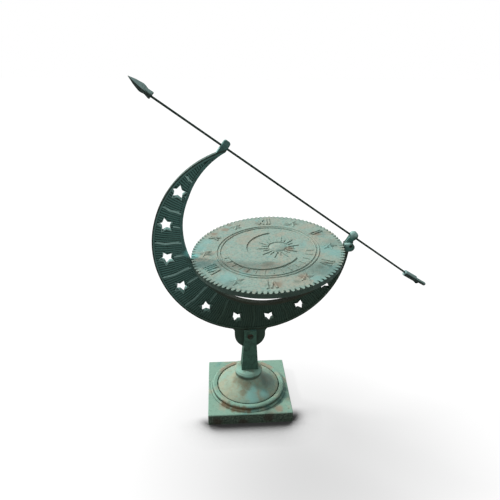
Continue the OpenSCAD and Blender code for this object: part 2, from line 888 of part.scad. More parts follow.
// Leaf-shaped head with four sides and a round, flared socket, bent a little off the rod
module arrow_head() {
    socket_r = head_socket_d / 2;
    waist_r = head_w * 0.38;
    color(verdigris)
        difference() {
            bent(head_foot, -6, head_bend) {
                rotate(45)
                    intersection() {
                        slab(head_w) scale([cos(45) * 1.06, 1]) polygon(blade_outline());
                        rotate(90) slab(head_w) scale([cos(45) * 1.06, 1]) polygon(blade_outline());
                    }
                rotate_extrude()
                    polygon([[0, 0], [socket_r - 0.8, 0], [socket_r, 0.8], [socket_r - 0.1, 2.6],
                             [waist_r + 0.3, head_length * 0.2], [waist_r, head_length * 0.27],
                             [waist_r * 0.8, head_length * 0.36], [0, head_length * 0.42]]);
            }
            in_crescent()
                on_arrow()
                    translate([0, 0, head_foot - socket_depth])
                        cylinder(h = 2 * socket_depth, d = rod_d);
        }
}

// Turned tail: a wide socket with a small spur below, and a narrow round end
module arrow_tail() {
    socket_r = tail_socket_d / 2;
    end_r = tail_end_d / 2;
    dome = [for (a = [0:15:90])
        [end_r * cos(a), end_r - tail_length - end_r * sin(a)]];
    color(verdigris)
        difference() {
            bent(tail_foot, -9, -tail_bend) {
                rotate_extrude()
                    polygon(concat(
                        [[0, 0], [socket_r - 0.6, 0], [socket_r, -0.6],
                         [socket_r, 1.2 - tail_socket_length],
                         [socket_r - 1.2, -tail_socket_length], [end_r, -tail_socket_length]],
                        dome));
                translate([-1.2, 0, -tail_socket_length - 3])
                    rotate([90, 0, 0])
                        cylinder(h = 3.6, r = 3.6, center = true);
            }
            in_crescent()
                on_arrow()
                    translate([0, 0, tail_foot - socket_depth])
                        cylinder(h = 2 * socket_depth, d = rod_d);
        }
}

foot_plate();
bell();
post();
foot_screw();
foot_washer();
pivot_screw();
pivot_washer();
pivot_nut();
crescent();
clamp_screw();
dial_plate();
trunnion_pins();
gnomon_rod();
arrow_head();
arrow_tail();
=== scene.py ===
import json
from math import atan2, cos, floor, pi, radians, sin, sqrt

import bmesh
import bpy
from mathutils import Matrix, Vector


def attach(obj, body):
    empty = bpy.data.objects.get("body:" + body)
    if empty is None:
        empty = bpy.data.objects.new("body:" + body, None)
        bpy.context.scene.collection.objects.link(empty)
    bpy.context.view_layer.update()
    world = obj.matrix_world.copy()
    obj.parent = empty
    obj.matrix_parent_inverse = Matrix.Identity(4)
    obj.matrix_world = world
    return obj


# Packed sundial
# The castings, the screws and the arrow come as solids in one frame, in metres. What is
# modelled below is low cast relief, and each piece of it rides with its own casting.
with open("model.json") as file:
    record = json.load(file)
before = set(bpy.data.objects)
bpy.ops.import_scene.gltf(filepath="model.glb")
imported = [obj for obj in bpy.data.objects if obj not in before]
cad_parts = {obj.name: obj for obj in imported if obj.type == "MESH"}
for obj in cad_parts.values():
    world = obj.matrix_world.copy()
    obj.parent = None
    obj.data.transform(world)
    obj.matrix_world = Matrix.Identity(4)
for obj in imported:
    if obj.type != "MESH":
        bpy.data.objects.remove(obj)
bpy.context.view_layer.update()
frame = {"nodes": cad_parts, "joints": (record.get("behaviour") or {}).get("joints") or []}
joints = {joint["name"]: joint for joint in frame["joints"]}
mm = 0.001


# Camera
# It stands in front, a little to the left, and looks down on the dial from about table
# height, with a slightly wide lens on a square frame.
eye = Vector((-56.45, -532.78, 474.28)) * mm
turned = 0.105672
lowered = 0.423470
rolled = 0.013378
focal_pixels = 463.136
frame_pixels = 500
sensor = 36.0
nearest_seen = 10 * mm

ahead = Vector((sin(turned) * cos(lowered), cos(turned) * cos(lowered), -sin(lowered)))
level = Vector((cos(turned), -sin(turned), 0))
upright = level.cross(ahead)
right = cos(rolled) * level + sin(rolled) * upright
above = cos(rolled) * upright - sin(rolled) * level
camera = bpy.data.objects.new("camera", bpy.data.cameras.new("camera"))
bpy.context.scene.collection.objects.link(camera)
camera.matrix_world = Matrix.Translation(eye) @ Matrix((right, above, -ahead)).transposed().to_4x4()
camera.data.sensor_fit = "HORIZONTAL"
camera.data.sensor_width = sensor
camera.data.lens = focal_pixels / frame_pixels * sensor
camera.data.clip_start = nearest_seen
bpy.context.scene.camera = camera
bpy.context.scene.view_settings.view_transform = "Standard"


# Floor and light
# A white sheet under an even white sky. One broad lamp stands high on the left and casts the
# shadows on the dial and the bell, and a second stands behind. Close in front of the foot the
# sheet's glow is dimmed, which paints a soft shadow there.
white = (1, 1, 1, 1)
sky_level = 0.36
lamps = (
    ("left_lamp", Vector((-1.15, 0.50, 1.0)), 1.95, radians(9)),
    ("back_lamp", Vector((-0.45, 1.0, 1.0)), 1.25, radians(20)),
)
sheet_white = 0.45
sheet_seen = 0.14
sheet_side = 12.0
near_lift = 0.62
far_lift = 0.93
lift_from = Vector((60, -140, 0)) * mm
lift_reach = 300 * mm
contact_reach = 45 * mm
contact_side = (0.05, -1, 0)
contact_starts = (34 * mm, 54 * mm)
contact_openness = (0.72, 1.0)
contact_samples = 12


def add_node(tree, kind, values=None, **settings):
    """Adds a node, sets its own settings and, by name, what stands on its sockets."""
    node = tree.nodes.new("ShaderNode" + kind)
    for name, setting in settings.items():
        setattr(node, name, setting)
    for name, value in (values or {}).items():
        node.inputs[name].default_value = value
    return node


def combine(tree, operation, first, second):
    """One step of arithmetic on two outputs or numbers."""
    node = add_node(tree, "Math", operation=operation)
    for socket, value in zip(node.inputs, (first, second)):
        if isinstance(value, (int, float)):
            socket.default_value = value
        else:
            tree.links.new(value, socket)
    return node.outputs[0]


def product(tree, first, second):
    """Two shares multiplied, so that the result is high only where both are."""
    return combine(tree, "MULTIPLY", first, second)


def ramp(tree, source, low, high, to_low=0.0, to_high=1.0):
    """Turns a value smoothly into a share, from to_low at low to to_high at high."""
    spread = add_node(
        tree, "MapRange",
        {"From Min": low, "From Max": high, "To Min": to_low, "To Max": to_high},
        interpolation_type="SMOOTHSTEP",
    )
    tree.links.new(source, spread.inputs["Value"])
    return spread.outputs["Result"]


def vector_value(tree, operation, source, vector=(0, 0, 0)):
    """A single number from an output and one fixed vector."""
    node = add_node(tree, "VectorMath", {1: vector}, operation=operation)
    tree.links.new(source, node.inputs[0])
    return node.outputs["Value"]


def seen_directly(tree):
    """1 for what the camera sees, also through a reflection, and 0 for light on pieces."""
    path = add_node(tree, "LightPath")
    either = combine(tree, "MAXIMUM", path.outputs["Is Camera Ray"], path.outputs["Is Glossy Ray"])
    return combine(tree, "MAXIMUM", either, path.outputs["Is Transmission Ray"])


def join_shaders(tree, kind, first, second, output):
    """Brings two shaders together in one node and leads it to the tree's output."""
    both = add_node(tree, kind)
    sockets = [socket for socket in both.inputs if socket.type == "SHADER"]
    tree.links.new(first.outputs[0], sockets[0])
    tree.links.new(second.outputs[0], sockets[1])
    tree.links.new(both.outputs[0], add_node(tree, output).inputs[0])
    return both


def hang_sky():
    """An even sky that lights the pieces less than it shows itself, as pure white."""
    world = bpy.data.worlds.new("white_sky")
    bpy.context.scene.world = world
    world.use_nodes = True
    tree = world.node_tree
    tree.nodes.clear()
    light = add_node(tree, "Background", {"Color": white, "Strength": sky_level})
    shown = add_node(tree, "Background", {"Color": white, "Strength": 1.0})
    mix = join_shaders(tree, "MixShader", light, shown, "OutputWorld")
    tree.links.new(seen_directly(tree), mix.inputs[0])


def hang_lamp(name, lamp_from, strength, spread):
    """One far lamp, which shines from a direction with rays that spread over an angle."""
    lamp = bpy.data.objects.new(name, bpy.data.lights.new(name, "SUN"))
    bpy.context.scene.collection.objects.link(lamp)
    lamp.data.energy = strength
    lamp.data.angle = spread
    lamp.rotation_euler = lamp_from.to_track_quat("Z", "Y").to_euler()


def sheet_paper():
    """Matt white paper that glows a little where it is seen, dimmed to a painted shadow in front of the
    foot.
    """
    material = bpy.data.materials.new("white_sheet")
    material.use_nodes = True
    tree = material.node_tree
    tree.nodes.clear()
    seen = seen_directly(tree)
    whiteness = add_node(tree, "MapRange", {"To Min": sheet_white, "To Max": sheet_seen})
    tree.links.new(seen, whiteness.inputs["Value"])
    matt = add_node(tree, "BsdfDiffuse")
    tree.links.new(whiteness.outputs["Result"], matt.inputs["Color"])

    place = add_node(tree, "TexCoord").outputs["Object"]
    away = vector_value(tree, "DISTANCE", place, lift_from)
    # Painted shade: the glow is lowest near a point in front of the foot
    lift = ramp(tree, away, 0, lift_reach, near_lift, far_lift)
    # Painted shadow: the glow is dimmed where the foot closes the sheet in, mostly in front of it
    openness = add_node(tree, "AmbientOcclusion", {"Distance": contact_reach}, samples=contact_samples)
    closed = ramp(tree, openness.outputs["AO"], *contact_openness, to_low=1, to_high=0)
    forward = ramp(tree, vector_value(tree, "DOT_PRODUCT", place, contact_side), *contact_starts)
    unshaded = combine(tree, "SUBTRACT", 1, product(tree, closed, forward))
    glow = add_node(tree, "Emission", {"Color": white})
    tree.links.new(product(tree, seen, product(tree, lift, unshaded)), glow.inputs["Strength"])
    join_shaders(tree, "AddShader", matt, glow, "OutputMaterial")
    return material


def link_mesh(name, bm, material):
    """Makes a piece from a finished bmesh and gives it one material."""
    mesh = bpy.data.meshes.new(name)
    bm.to_mesh(mesh)
    bm.free()
    mesh.materials.append(material)
    piece = bpy.data.objects.new(name, mesh)
    bpy.context.scene.collection.objects.link(piece)
    return piece


hang_sky()
for lamp in lamps:
    hang_lamp(*lamp)
bm = bmesh.new()
bmesh.ops.create_grid(bm, x_segments=1, y_segments=1, size=sheet_side / 2)
link_mesh("white_sheet", bm, sheet_paper())


# Foot plate
# Square sand casting in brass with a moulded ring round the bell. A chalky verdigris lies
# on what faces up, the sides stay dark with patina and painted shade, and brass shows brown where
# hands wear the ring. A painted shadow of the ring lies on the plate to its right and front.
beige_size = 24 * mm
blue_size = 28 * mm
blue_shift = (0.31, 0.12, 0.05)
copper_size = 11 * mm
copper_shift = (0.77, 0.41, 0.23)
stain_size = 9 * mm
stain_shift = (0.05, 0.63, 0.17)
speck_size = 1.6 * mm
pit_size = 3.2 * mm
pit_shift = (0.4, 0.2, 0.9)
corner_reach = 2.6 * mm
edge_reach = 1.1 * mm
occlusion_samples = 6
wear_size = 6 * mm
wave_size = 9 * mm
wave_depth = 0.9 * mm
wobble_size = 7 * mm
brass_metallic = 0.05
chalk_roughness = (0.55, 0.8)


def srgb(red, green, blue):
    """A colour written as it looks on a screen, as the shader's linear values."""
    def linear(part):
        part = part / 255
        return part / 12.92 if part <= 0.04045 else ((part + 0.055) / 1.055) ** 2.4
    return (linear(red), linear(green), linear(blue), 1)


def colour_mix(tree, share, first, second):
    """Mixes two colours, each a value or an output, by an output that goes from 0 to 1."""
    mix = add_node(tree, "Mix", data_type="RGBA")
    tree.links.new(share, mix.inputs[0])
    for socket, colour in ((mix.inputs[6], first), (mix.inputs[7], second)):
        if isinstance(colour, tuple):
            socket.default_value = colour
        else:
            tree.links.new(colour, socket)
    return mix.outputs[2]


def cloud(tree, place, size, detail=4.0, distortion=0.0, rough=0.55):
    """Cloudy noise whose patches are about as wide as size."""
    noise = add_node(
        tree, "TexNoise",
        {"Scale": 1 / size, "Detail": detail, "Roughness": rough, "Distortion": distortion},
    )
    tree.links.new(place, noise.inputs["Vector"])
    return noise.outputs["Fac"]


def moved(tree, place, shift):
    """The same coordinates moved, so that two clouds don't lie on each other."""
    mapping = add_node(tree, "Mapping", {"Location": shift})
    tree.links.new(place, mapping.inputs["Vector"])
    return mapping.outputs["Vector"]


def clouded_top(tree, place, pale, beige, blue, copper, shares):
    """The patina on what faces up: pale, clouded with beige and blue, with brown patches of
    bare brass. The three shares say how much of it each of the last three takes."""
    beige_from = 0.62 - shares[0] / 4
    blue_from = 0.70 - shares[1] / 2.5
    copper_from = 0.74 - shares[2] / 3
    beiges = cloud(tree, place, beige_size, detail=5, distortion=0.6)
    colour = colour_mix(tree, ramp(tree, beiges, beige_from, beige_from + 0.18), pale, beige)
    blues = cloud(tree, moved(tree, place, blue_shift), blue_size, detail=5, distortion=0.8)
    colour = colour_mix(tree, ramp(tree, blues, blue_from, blue_from + 0.16, to_high=0.8), colour, blue)
    coppers = cloud(tree, moved(tree, place, copper_shift), copper_size, detail=6, distortion=1.2)
    bare = ramp(tree, coppers, copper_from, copper_from + 0.10, to_high=0.8)
    return colour_mix(tree, bare, colour, copper)


def cast_skin(tree, shader, place, gloss, sand):
    """Surface of a sand casting: long low waves, with the mould's grit on them. The grit is
    given by its grain and its depth."""
    unevenness = ramp(tree, cloud(tree, place, wear_size), 0.3, 0.7, *chalk_roughness)
    tree.links.new(unevenness, shader.inputs["Roughness"])
    shader.inputs["Metallic"].default_value = brass_metallic
    shader.inputs["Specular IOR Level"].default_value = gloss
    grit = add_node(tree, "Bump", {"Strength": 0.4, "Distance": sand[1]})
    tree.links.new(cloud(tree, place, sand[0], rough=0.65), grit.inputs["Height"])
    waves = add_node(tree, "Bump", {"Strength": 0.45, "Distance": wave_depth})
    tree.links.new(cloud(tree, place, wave_size, detail=2), waves.inputs["Height"])
    tree.links.new(grit.outputs["Normal"], waves.inputs["Normal"])
    tree.links.new(waves.outputs["Normal"], shader.inputs["Normal"])


def weathered_brass(name, pale, beige, blue, copper, dark, worn_and_highlight, grime_and_shade,
                    shares=(0.5, 0.45, 0.35), facing=(0.25, 0.8), gloss=0.15,
                    corners=0.75, edges=0.5, grain=0.12, sand=(1.1 * mm, 0.25 * mm)):
    """Cast brass under verdigris: pale and clouded where it faces up, dark on its sides, darkened in
    its corners, lightened on its edges, with brown patches of bare brass. The pale top and dark sides
    are patina with painted light and shade, the corners grime with painted shade, and the edges wear
    with a painted highlight."""
    material = bpy.data.materials.new(name)
    material.use_nodes = True
    tree = material.node_tree
    shader = tree.nodes["Principled BSDF"]
    coordinates = add_node(tree, "TexCoord")
    place = coordinates.outputs["Object"]

    normal = add_node(tree, "SeparateXYZ")
    tree.links.new(coordinates.outputs["Normal"], normal.inputs[0])
    stain = cloud(tree, moved(tree, place, stain_shift), stain_size, detail=5, distortion=0.4)
    sides = colour_mix(tree, ramp(tree, stain, 0.35, 0.7, to_high=0.6), dark, grime_and_shade)
    # Pale top and dark sides: partly the patina, partly painted light above and painted shade on the sides
    tilt = combine(tree, "ADD", normal.outputs["Z"], product(tree, stain, 0.35))
    faces_up = ramp(tree, tilt, facing[0] + 0.17, facing[1] + 0.17)
    top = clouded_top(tree, place, pale, beige, blue, copper, shares)
    colour = colour_mix(tree, faces_up, sides, top)

    speck = cloud(tree, place, speck_size, detail=3, rough=0.7)
    colour = colour_mix(tree, ramp(tree, speck, 0.35, 0.75, to_high=3 * grain), colour, worn_and_highlight)
    pit = cloud(tree, moved(tree, place, pit_shift), pit_size, distortion=0.5, rough=0.7)
    colour = colour_mix(tree, ramp(tree, pit, 0.56, 0.74, to_high=0.5), colour, grime_and_shade)

    # Grime and painted shade where the corners are closed in
    corner = add_node(tree, "AmbientOcclusion", {"Distance": corner_reach},
                      samples=occlusion_samples, only_local=True)
    in_corner = ramp(tree, corner.outputs["AO"], 0.45, 0.92, to_low=corners, to_high=0)
    colour = colour_mix(tree, in_corner, colour, grime_and_shade)
    # Wear and a painted highlight on the outer edges
    edge = add_node(tree, "AmbientOcclusion", {"Distance": edge_reach},
                    samples=occlusion_samples, only_local=True, inside=True)
    on_edge = ramp(tree, edge.outputs["AO"], 0.35, 0.85, to_low=edges, to_high=0)
    tree.links.new(colour_mix(tree, on_edge, colour, worn_and_highlight), shader.inputs["Base Color"])
    cast_skin(tree, shader, place, gloss, sand)
    return material


def paint_over(material, share, colour):
    """Lays one more colour over a finished patina, by an output that goes from 0 to 1."""
    tree = material.node_tree
    base = tree.nodes["Principled BSDF"].inputs["Base Color"]
    tree.links.new(colour_mix(tree, share, base.links[0].from_socket, colour), base)


def paint_spots(material, colour, strength, spots, ragged=0.6):
    """Ragged soft spots of one colour, each given as its centre and its radius."""
    tree = material.node_tree
    place = add_node(tree, "TexCoord").outputs["Object"]
    wobble = cloud(tree, place, wobble_size, detail=5, distortion=0.5, rough=0.65)
    most = None
    for centre, radius in spots:
        nearer = add_node(
            tree, "Mapping",
            {"Location": tuple(-part / radius for part in centre), "Scale": (1 / radius,) * 3},
        )
        tree.links.new(place, nearer.inputs["Vector"])
        reach = vector_value(tree, "LENGTH", nearer.outputs["Vector"])
        uneven = combine(tree, "ADD", reach, product(tree, wobble, 2 * ragged))
        share = ramp(tree, uneven, 0.3 + ragged, 1.15 + ragged, to_low=strength, to_high=0)
        most = share if most is None else combine(tree, "MAXIMUM", most, share)
    paint_over(material, most, colour)


def in_mm(*spots):
    """Spots that are written as x, y, z and radius in millimetres."""
    return [(Vector((x, y, z)) * mm, radius * mm) for x, y, z, radius in spots]


def finish_node(node, material):
    """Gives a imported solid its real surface."""
    solid = frame["nodes"][node]
    solid.data.materials.clear()
    solid.data.materials.append(material)


rubbed_spots = in_mm(
    (-37, -37, 18, 6), (-31, -41, 18, 6), (-24, -47, 17, 6.5), (-18, -49, 17, 6.5),
    (-11, -50, 18, 6), (-4, -52, 17, 5),
)
coppery_spots = in_mm(
    (-36, 32, 23, 8), (-27, 38, 23, 8), (-18, 43, 23, 7), (27, 39, 23, 8), (35, 31, 23, 8),
    (38, -50, 16, 8),
)
# Painted shadow of the ring, in dark teal, on the plate to its right and front
ring_shadow_spots = in_mm((48, -25, 16, 8), (52, -14, 16, 6), (40, -36, 16, 6), (22, -49, 17, 6))
rusty_spots = in_mm((-48, -57, 5, 10), (-12, -57, 3, 8), (22, -57, 9, 9))
foot_green = weathered_brass(
    "foot_verdigris", pale=srgb(136, 176, 157), beige=srgb(164, 172, 150), blue=srgb(112, 166, 158),
    copper=srgb(158, 132, 108), dark=srgb(44, 60, 48), worn_and_highlight=srgb(168, 192, 172), grime_and_shade=srgb(40, 50, 40),
    shares=(0.45, 0.3, 0.12), facing=(0.3, 0.75), edges=0.45,
)
paint_spots(foot_green, srgb(112, 92, 66), 0.85, rubbed_spots)
paint_spots(foot_green, srgb(172, 140, 118), 0.6, coppery_spots)
paint_spots(foot_green, srgb(74, 118, 114), 0.65, ring_shadow_spots)
paint_spots(foot_green, srgb(58, 40, 32), 0.6, rusty_spots)
finish_node("foot_plate", foot_green)


# Bell
# Hollow brass casting with a collar, in the same verdigris. A painted shadow keeps the neck under
# the collar dark. Below it the front is rubbed to brown brass, with turquoise beside it, and a
# painted shadow darkens the right flank.
collar_shadow_band = (40.2 * mm, 43.9 * mm)
collar_shadow_soft = 2 * mm
mottle_size = 4 * mm
flank_left = in_mm((-29, -24, 26, 22), (-42, -7, 23, 14))
flank_front = in_mm((2, -35, 28, 11), (5, -28, 31, 8), (4, -40, 24, 9), (19, -31, 27, 10))
collar_top = in_mm((-2, -17, 50, 12), (-12, -8, 51, 12), (12, -12, 50, 10))
neck_front = in_mm((-6, -22, 35, 9), (-10, -29, 29, 7), (-19, -10, 36, 6), (-13, -15, 38, 8))
# Painted shadow of the post and collar on the bell's right flank
right_flank_shadow = in_mm((27, -8, 33, 18))


def between(tree, source, low, high, soft, share=1.0):
    """A share where a value lies between two others, with soft ends."""
    rise = ramp(tree, source, low - soft / 2, low + soft / 2, to_high=share)
    fall = ramp(tree, source, high - soft / 2, high + soft / 2, to_low=1, to_high=0)
    return product(tree, rise, fall)


def mottle(material, colour, size, share, strength):
    """Grains or clouds of one more colour all over a patina, over about that share of it."""
    tree = material.node_tree
    place = moved(tree, add_node(tree, "TexCoord").outputs["Object"], colour[:3])
    grains = cloud(tree, place, size, distortion=0.4, rough=0.6)
    dense_from = 0.60 - share / 4
    paint_over(material, ramp(tree, grains, dense_from, dense_from + 0.12, to_high=strength), colour)


bell_green = weathered_brass(
    "bell_verdigris", pale=srgb(148, 178, 160), beige=srgb(168, 174, 150), blue=srgb(118, 166, 158),
    copper=srgb(160, 138, 112), dark=srgb(56, 76, 66), worn_and_highlight=srgb(164, 188, 168), grime_and_shade=srgb(52, 66, 56),
    shares=(0.6, 0.25, 0.15), facing=(0.05, 0.45), edges=0.35,
)
paint_spots(bell_green, srgb(170, 174, 148), 0.55, flank_left)
mottle(bell_green, srgb(158, 148, 122), mottle_size, 0.5, 0.35)
paint_spots(bell_green, srgb(144, 204, 196), 0.75, flank_front)
paint_spots(bell_green, srgb(150, 198, 182), 0.8, collar_top, ragged=0.3)
paint_spots(bell_green, srgb(126, 120, 96), 0.65, neck_front, ragged=0.9)
paint_spots(bell_green, srgb(96, 112, 110), 0.6, right_flank_shadow)
bell_tree = bell_green.node_tree
bell_place = add_node(bell_tree, "TexCoord").outputs["Object"]
bell_height = vector_value(bell_tree, "DOT_PRODUCT", bell_place, (0, 0, 1))
# Painted shadow in a band round the neck under the collar
collar_shadow = between(bell_tree, bell_height, *collar_shadow_band, soft=collar_shadow_soft, share=0.8)
paint_over(bell_green, collar_shadow, srgb(62, 74, 62))
finish_node("bell", bell_green)


# Post
# Tapered cast post with a fork for the crescent's lug. It stands upright in the weather, so it
# keeps the dark green patina with painted shade on its upright sides, and little chalk on it.
post_green = weathered_brass(
    "post_patina", pale=srgb(112, 150, 134), beige=srgb(118, 140, 122), blue=srgb(94, 146, 138),
    copper=srgb(104, 96, 74), dark=srgb(68, 104, 90), worn_and_highlight=srgb(104, 134, 118), grime_and_shade=srgb(40, 54, 44),
    facing=(0.2, 0.8), gloss=0.12, corners=0.6, edges=0.4, grain=0.08,
)
finish_node("post", post_green)


# Screws, washers and the nut
# Plain turned fasteners that hold foot, post and crescent. The one through the fork has
# rusted to a brown spot on the front of the post, and those below stay dull.
tarnish_size = 3 * mm
rough_size = 2 * mm
turning_size = 0.5 * mm
turning_depth = 0.08 * mm
turned_metallic = 0.6
turned_gloss = 0.2


def dull_metal(name, clean, stained, rough):
    """Old turned metal: clouded between a clean and a stained colour, with fine turning."""
    material = bpy.data.materials.new(name)
    material.use_nodes = True
    tree = material.node_tree
    shader = tree.nodes["Principled BSDF"]
    place = add_node(tree, "TexCoord").outputs["Object"]
    tarnish = ramp(tree, cloud(tree, place, tarnish_size, detail=5, distortion=0.6), 0.38, 0.62)
    tree.links.new(colour_mix(tree, tarnish, clean, stained), shader.inputs["Base Color"])
    roughness = ramp(tree, cloud(tree, place, rough_size), 0.3, 0.7, rough - 0.1, rough + 0.15)
    tree.links.new(roughness, shader.inputs["Roughness"])
    shader.inputs["Metallic"].default_value = turned_metallic
    shader.inputs["Specular IOR Level"].default_value = turned_gloss
    scratch = add_node(tree, "Bump", {"Strength": 0.3, "Distance": turning_depth})
    tree.links.new(cloud(tree, place, turning_size, detail=3), scratch.inputs["Height"])
    tree.links.new(scratch.outputs["Normal"], shader.inputs["Normal"])
    return material


rusted = dull_metal("rusted_screw", srgb(52, 68, 58), srgb(66, 50, 40), 0.75)
dull_brass = dull_metal("dull_brass", srgb(150, 136, 98), srgb(96, 98, 76), 0.45)
finish_node("pivot_screw", rusted)
for fastener in ("foot_screw", "foot_washer", "pivot_washer", "pivot_nut"):
    finish_node(fastener, dull_brass)


# Crescent
# One brass casting pierced with stars, with rims, bent ridges and fine ribs in its sunk field on
# both sides. Dark green patina, lighter along what faces up, partly with chalk and partly as painted
# light.
crescent_r = 125 * mm
rim_w = 3.5 * mm
field_r = crescent_r - rim_w
web_t = 5.5 * mm
lean = radians(0.8)
pivot_to_centre = 133.4 * mm
horns_at = radians(55.6)
mouth_at = radians(49.1)
mouth_offset = 29.3 * mm
mouth_r = 105.8 * mm
tip_cut_at = Vector((35.8 * mm, 5.8 * mm))
tip_cut_r = 98.5 * mm
mouth_circles = (
    (mouth_offset * Vector((cos(mouth_at), sin(mouth_at))), mouth_r + rim_w),
    (Matrix.Rotation(horns_at, 2) @ tip_cut_at, tip_cut_r + rim_w),
)
star_count = 9
star_pitch = radians(22.4)
star_circle_r = 113.6 * mm
star_offset = 7.5 * mm
star_centre = star_offset * Vector((cos(horns_at), sin(horns_at)))
star_tip_r = 9.2 * mm
star_waist_r = 5.1 * mm
star_border = 1.1 * mm
star_band = 11 * mm
arm_step = radians(36)
field_end = 62 * mm
sunk = 0.3 * mm
to_crescent = (
    Matrix.Translation(joints["crescent_lean"]["pos_m"])
    @ Matrix.Rotation(lean, 4, "Y")
    @ Matrix.Translation((0, 0, pivot_to_centre))
)

crescent_green = weathered_brass(
    "crescent_patina", pale=srgb(120, 158, 150), beige=srgb(112, 142, 128), blue=srgb(92, 152, 146),
    copper=srgb(92, 94, 76), dark=srgb(74, 112, 106), worn_and_highlight=srgb(104, 142, 134), grime_and_shade=srgb(38, 52, 46),
    shares=(0.5, 0.5, 0.2), facing=(0.15, 0.85), gloss=0.1, corners=0.6, edges=0.35,
)
finish_node("crescent", crescent_green)

low_right = (0.75, 0, -0.66)
low_from = (-85 * mm, 50 * mm)
mouth_edge = (-0.4 * mm, 0.2 * mm)
field_soft = 0.8 * mm
groove_depths = (web_t / 2 - 0.05 * mm, web_t / 2 + 0.3 * mm)
rib_depths = (web_t / 2 + 0.5 * mm, 3.6 * mm)
ridge_depths = (3.6 * mm, 3.8 * mm)
wall_depths = (web_t / 2 - 0.2 * mm, web_t / 2 - 0.1 * mm)
chalk_size = 6 * mm
inner_line = (crescent_r - 3.1 * mm, crescent_r - 2.2 * mm)
outer_line = (crescent_r - 1.6 * mm, crescent_r + 0.3 * mm)
left_pin = in_mm((-79, 0, 232, 7))
block = in_mm((128, -3, 244, 8), (126, -8, 236, 8))
knob = in_mm((130, -2, 254, 8), (135, -4, 253, 6), (124, -7, 242, 6))


def mouth_share(tree, flat, stand):
    """1 on the mouth's rim and inside it, where one of its two circles reaches."""
    most = None
    for centre, radius in mouth_circles:
        away = vector_value(tree, "DISTANCE", flat, stand.to_3x3() @ Vector((centre.x, 0, centre.y)))
        inside = ramp(tree, away, radius + mouth_edge[0], radius + mouth_edge[1], to_low=1, to_high=0)
        most = inside if most is None else combine(tree, "MAXIMUM", most, inside)
    return most


def star_wall_share(tree, flat, depth, normal, stand):
    """1 on the lower walls of the pierced stars, which face up."""
    centre = stand.to_3x3() @ Vector((star_centre.x, 0, star_centre.y))
    ring = vector_value(tree, "DISTANCE", flat, centre)
    in_stars = between(tree, ring, star_circle_r - star_band, star_circle_r + star_band, soft=1 * mm)
    in_wall = product(tree, in_stars, ramp(tree, depth, *wall_depths, to_low=1, to_high=0))
    upward = vector_value(tree, "DOT_PRODUCT", normal, (0, 0, 1))
    return product(tree, in_wall, ramp(tree, upward, 0.1, 0.5, to_high=0.9))


def paint_crescent(material, stand):
    """Browner and darker low on the right. High on the left the ridges and the ribs are bright with
    chalk, the lower walls of the stars, which face up, carry a painted highlight, and a painted
    highlight runs along the inner edge of the outer rim. A dark line runs along the outermost edge."""
    tree = material.node_tree
    coordinates = add_node(tree, "TexCoord")
    place = coordinates.outputs["Object"]
    from_centre = moved(tree, place, -stand.translation)
    low = ramp(tree, vector_value(tree, "DOT_PRODUCT", from_centre, low_right), *low_from)
    high = combine(tree, "SUBTRACT", 1, low)
    paint_over(material, product(tree, low, 0.8), srgb(54, 68, 54))

    depth = combine(tree, "ABSOLUTE", vector_value(tree, "DOT_PRODUCT", from_centre, (0, 1, 0)), 0)
    flattened = add_node(tree, "VectorMath", {1: (1, 0, 1)}, operation="MULTIPLY")
    tree.links.new(from_centre, flattened.inputs[0])
    flat = flattened.outputs["Vector"]
    out = vector_value(tree, "LENGTH", flat)
    in_mouth = mouth_share(tree, flat, stand)
    inside_rim = ramp(tree, out, field_r - field_soft, field_r, to_low=1, to_high=0)
    field = product(tree, combine(tree, "SUBTRACT", 1, in_mouth), inside_rim)
    lit_field = product(tree, field, high)

    groove = between(tree, depth, *groove_depths, soft=0.04 * mm, share=0.6)
    paint_over(material, product(tree, field, groove), srgb(42, 64, 57))
    rib_top = between(tree, depth, *rib_depths, soft=0.1 * mm, share=0.5)
    paint_over(material, product(tree, lit_field, rib_top), srgb(96, 140, 132))
    chalk = ramp(tree, cloud(tree, place, chalk_size), 0.25, 0.55, to_low=0.4)
    on_ridge = product(tree, ramp(tree, depth, *ridge_depths), chalk)
    paint_over(material, product(tree, lit_field, on_ridge), srgb(150, 186, 178))

    # Painted highlight on the lower walls of the stars, high on the left
    lower_wall = star_wall_share(tree, flat, depth, coordinates.outputs["Normal"], stand)
    paint_over(material, product(tree, high, lower_wall), srgb(160, 204, 196))
    # Painted highlight along the inner edge of the outer rim, high on the left
    rim_highlight = between(tree, out, *inner_line, soft=0.5 * mm, share=0.6)
    paint_over(material, product(tree, high, rim_highlight), srgb(104, 140, 132))
    # Darker along the outermost edge of the rim
    dark_edge_line = between(tree, out, *outer_line, soft=0.6 * mm, share=0.75)
    paint_over(material, dark_edge_line, srgb(48, 50, 40))
    paint_over(material, product(tree, low, product(tree, in_mouth, 0.6)), srgb(60, 52, 42))


paint_crescent(crescent_green, to_crescent)
paint_spots(crescent_green, srgb(124, 200, 194), 0.9, left_pin, ragged=0.2)
# Lighter teal on the block and paler on the knob's top: patina with a painted highlight where they face up
paint_spots(crescent_green, srgb(84, 132, 124), 0.75, block, ragged=0.2)
paint_spots(crescent_green, srgb(164, 204, 196), 0.9, knob, ragged=0.2)


